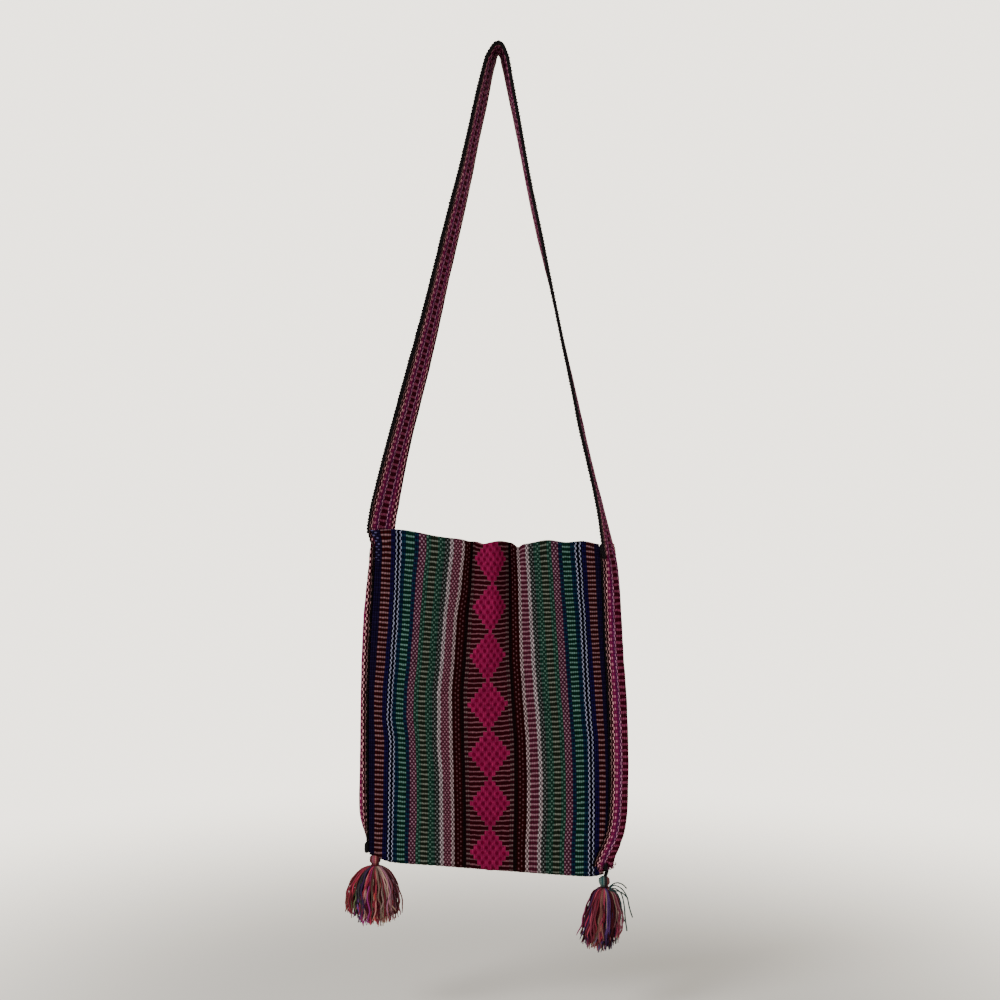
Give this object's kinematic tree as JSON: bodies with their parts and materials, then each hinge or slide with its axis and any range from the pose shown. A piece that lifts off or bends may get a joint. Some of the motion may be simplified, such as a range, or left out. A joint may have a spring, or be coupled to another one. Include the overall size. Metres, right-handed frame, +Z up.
{
  "type": "woven shoulder bag",
  "caption": "Flat rectangular shoulder bag of striped warp-faced cloth, with a woven band that is gussets and strap in one and a yarn tassel at each bottom corner.",
  "frame": {"origin": "underside of the strap at the middle of its crown, where a hook or shoulder carries it", "axes": "+Z up along the hanging bag, -Y the bag's front, +X to the viewer's right"},
  "size_m": [0.2961, 0.0398, 0.9562],
  "materials": {
    "striped_cloth": "matt woven yarn",
    "band": "matt woven yarn",
    "seam_yarn": "matt woven yarn",
    "tie_yarn": "matt woven yarn",
    "crimson_yarn": "matt woven yarn",
    "burgundy_yarn": "matt woven yarn",
    "mauve_yarn": "matt woven yarn",
    "beige_yarn": "matt woven yarn",
    "coral_yarn": "matt woven yarn",
    "plum_yarn": "matt woven yarn",
    "sage_yarn": "matt woven yarn",
    "navy_yarn": "matt woven yarn",
    "teal_yarn": "matt woven yarn"
  },
  "bodies": {
    "bag": {"body_cloth": "striped_cloth", "strap_band": "band", "left_front_seam": "seam_yarn", "left_back_seam": "seam_yarn", "right_front_seam": "seam_yarn", "right_back_seam": "seam_yarn", "left_corner_lashing": "tie_yarn", "right_corner_lashing": "tie_yarn"},
    "left_tie": {"left_tie": "tie_yarn"},
    "right_tie": {"right_tie": "tie_yarn"},
    "left_tassel": {"left_tassel_head": "crimson_yarn", "left_tassel_binding": "tie_yarn", "left_tassel_yarns_01": "mauve_yarn", "left_tassel_yarns_02": "beige_yarn", "left_tassel_yarns_03": "coral_yarn", "left_tassel_yarns_04": "plum_yarn", "left_tassel_yarns_05": "sage_yarn", "left_tassel_yarns_06": "burgundy_yarn", "left_tassel_yarns_07": "mauve_yarn", "left_tassel_yarns_08": "beige_yarn", "left_tassel_yarns_09": "coral_yarn", "left_tassel_yarns_10": "plum_yarn", "left_tassel_yarns_11": "sage_yarn", "left_tassel_yarns_12": "burgundy_yarn", "left_tassel_yarns_13": "mauve_yarn", "left_tassel_yarns_14": "beige_yarn", "left_tassel_yarns_15": "coral_yarn", "left_tassel_yarns_16": "plum_yarn", "left_tassel_yarns_17": "sage_yarn", "left_tassel_yarns_18": "burgundy_yarn", "left_tassel_yarns_19": "mauve_yarn"},
    "right_tassel": {"right_tassel_head": "burgundy_yarn", "right_tassel_binding": "tie_yarn", "right_tassel_yarns_01": "navy_yarn", "right_tassel_yarns_02": "coral_yarn", "right_tassel_yarns_03": "teal_yarn", "right_tassel_yarns_04": "beige_yarn", "right_tassel_yarns_05": "burgundy_yarn", "right_tassel_yarns_06": "crimson_yarn", "right_tassel_yarns_07": "navy_yarn", "right_tassel_yarns_08": "coral_yarn", "right_tassel_yarns_09": "teal_yarn", "right_tassel_yarns_10": "beige_yarn", "right_tassel_yarns_11": "burgundy_yarn", "right_tassel_yarns_12": "crimson_yarn", "right_tassel_yarns_13": "navy_yarn", "right_tassel_yarns_14": "coral_yarn", "right_tassel_yarns_15": "teal_yarn", "right_tassel_yarns_16": "beige_yarn", "right_tassel_yarns_17": "burgundy_yarn", "right_tassel_yarns_18": "crimson_yarn", "right_tassel_yarns_19": "navy_yarn"}
  },
  "joints": [
    {"name": "left_tie_swing", "type": "hinge", "parent": "bag", "child": "left_tie", "pos_m": [-0.1293, 0.0006, -0.85573], "axis": [1, 0, 0], "range_deg": [-60, 60]},
    {"name": "left_tassel_swing", "type": "hinge", "parent": "left_tie", "child": "left_tassel", "pos_m": [-0.1293, 0.0006, -0.86343], "axis": [0, 1, 0], "range_deg": [-20, 55]},
    {"name": "right_tie_swing", "type": "hinge", "parent": "bag", "child": "right_tie", "pos_m": [0.11399, 0.0006, -0.8709], "axis": [1, 0, 0], "range_deg": [-60, 60]},
    {"name": "right_tassel_swing", "type": "hinge", "parent": "right_tie", "child": "right_tassel", "pos_m": [0.11219, 0.0006, -0.8814], "axis": [0, -1, 0], "range_deg": [-20, 55]}
  ]
}
